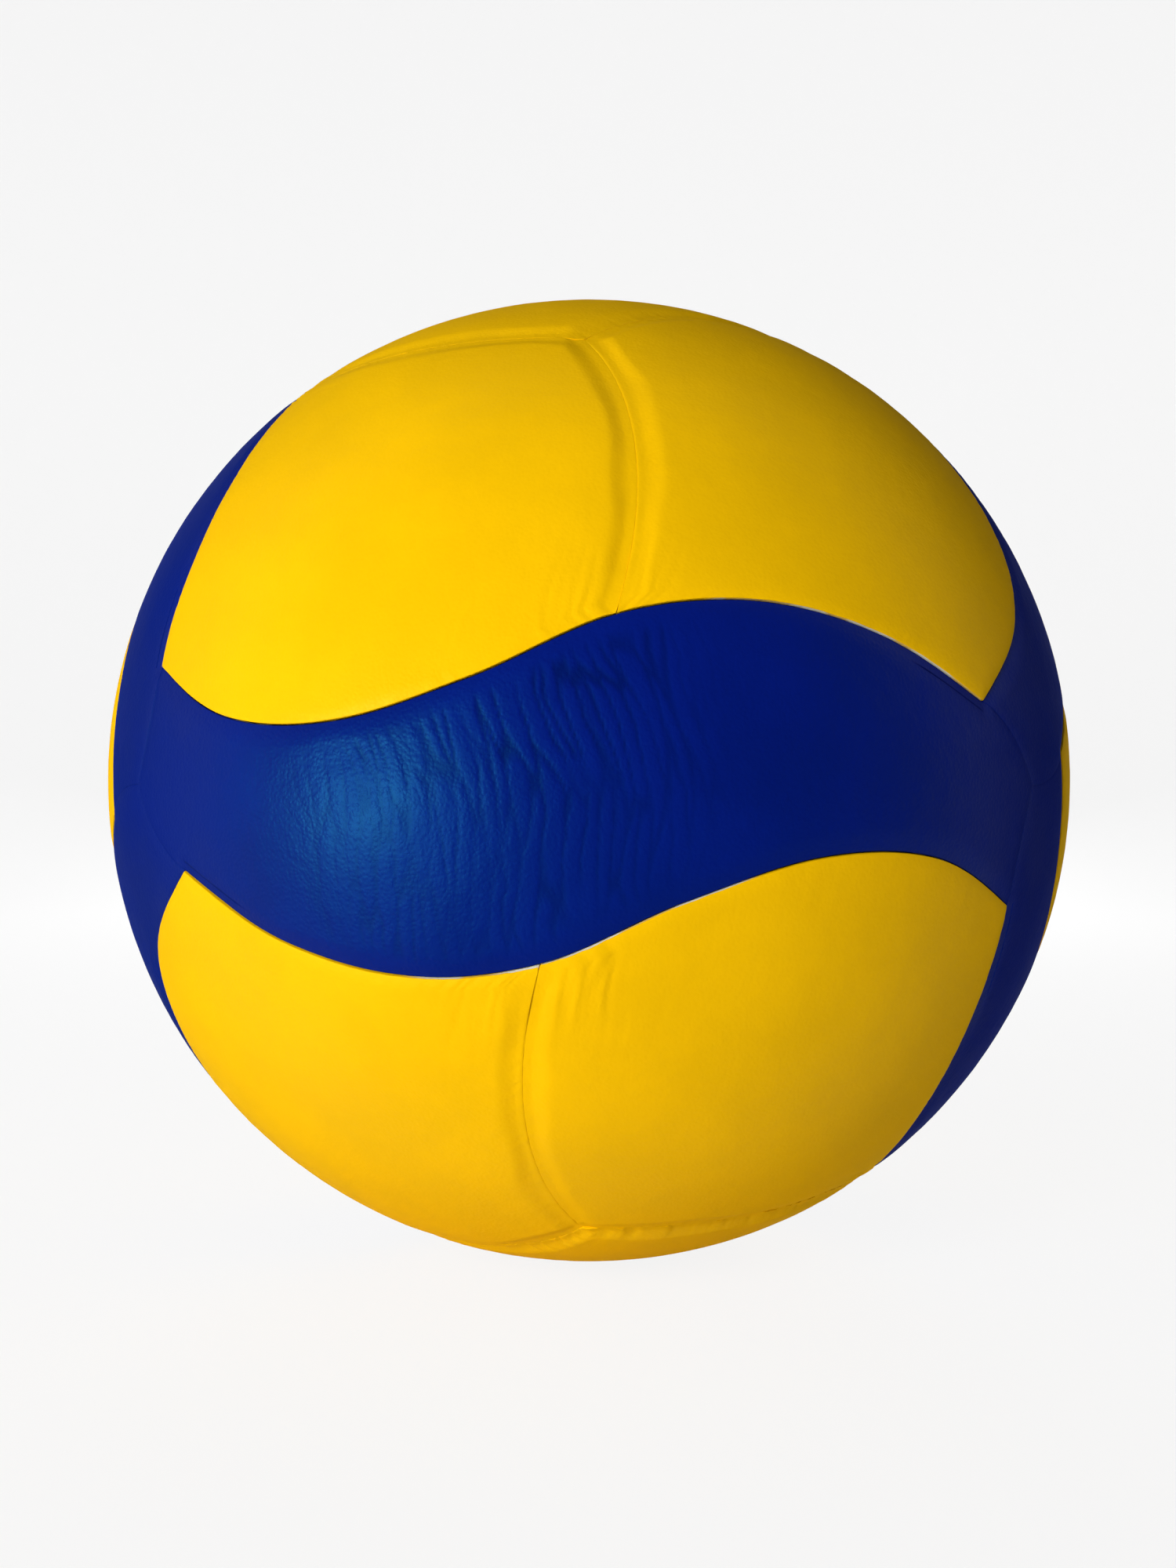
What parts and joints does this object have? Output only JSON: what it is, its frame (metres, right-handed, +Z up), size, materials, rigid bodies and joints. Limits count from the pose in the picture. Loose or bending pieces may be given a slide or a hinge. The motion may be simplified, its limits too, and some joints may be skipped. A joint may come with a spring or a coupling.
{
  "type": "volleyball",
  "caption": "Inflated training volleyball with wavy blue and yellow cover panels over foam, a rubber carcass, wound thread, a bladder and a needle valve.",
  "frame": {"origin": "centre of the ball", "axes": "+Z up; the band called front is centred on -Y, +X is to its right, and the valve opens along +Y"},
  "size_m": [0.21, 0.2099, 0.21],
  "materials": {
    "blue_cover": "satin, fine pebbled grain",
    "yellow_cover": "satin, fine pebbled grain",
    "foam_backing": "matte cut foam",
    "carcass_rubber": "matte moulded rubber",
    "nylon_thread": "wound thread",
    "bladder_rubber": "smooth butyl rubber",
    "valve_rubber": "matte moulded rubber",
    "core_rubber": "soft matte rubber"
  },
  "bodies": {
    "root": {"cover_blue_front": "blue_cover", "cover_blue_rear": "blue_cover", "cover_blue_upper_left": "blue_cover", "cover_blue_upper_right": "blue_cover", "cover_blue_lower_left": "blue_cover", "cover_blue_lower_right": "blue_cover", "cover_yellow_upper_left": "yellow_cover", "cover_yellow_upper_right": "yellow_cover", "cover_yellow_upper_rear": "yellow_cover", "cover_yellow_lower_left": "yellow_cover", "cover_yellow_lower_right": "yellow_cover", "cover_yellow_lower_rear": "yellow_cover", "cover_yellow_right_front": "yellow_cover", "cover_yellow_right_top": "yellow_cover", "cover_yellow_right_bottom": "yellow_cover", "cover_yellow_left_front": "yellow_cover", "cover_yellow_left_top": "yellow_cover", "cover_yellow_left_bottom": "yellow_cover", "foam_blue_front": "foam_backing", "foam_blue_rear": "foam_backing", "foam_blue_upper_left": "foam_backing", "foam_blue_upper_right": "foam_backing", "foam_blue_lower_left": "foam_backing", "foam_blue_lower_right": "foam_backing", "foam_yellow_upper_left": "foam_backing", "foam_yellow_upper_right": "foam_backing", "foam_yellow_upper_rear": "foam_backing", "foam_yellow_lower_left": "foam_backing", "foam_yellow_lower_right": "foam_backing", "foam_yellow_lower_rear": "foam_backing", "foam_yellow_right_front": "foam_backing", "foam_yellow_right_top": "foam_backing", "foam_yellow_right_bottom": "foam_backing", "foam_yellow_left_front": "foam_backing", "foam_yellow_left_top": "foam_backing", "foam_yellow_left_bottom": "foam_backing", "carcass": "carcass_rubber", "winding": "nylon_thread", "bladder": "bladder_rubber", "valve_patch": "carcass_rubber", "valve_body": "valve_rubber", "valve_core": "core_rubber"}
  },
  "joints": []
}
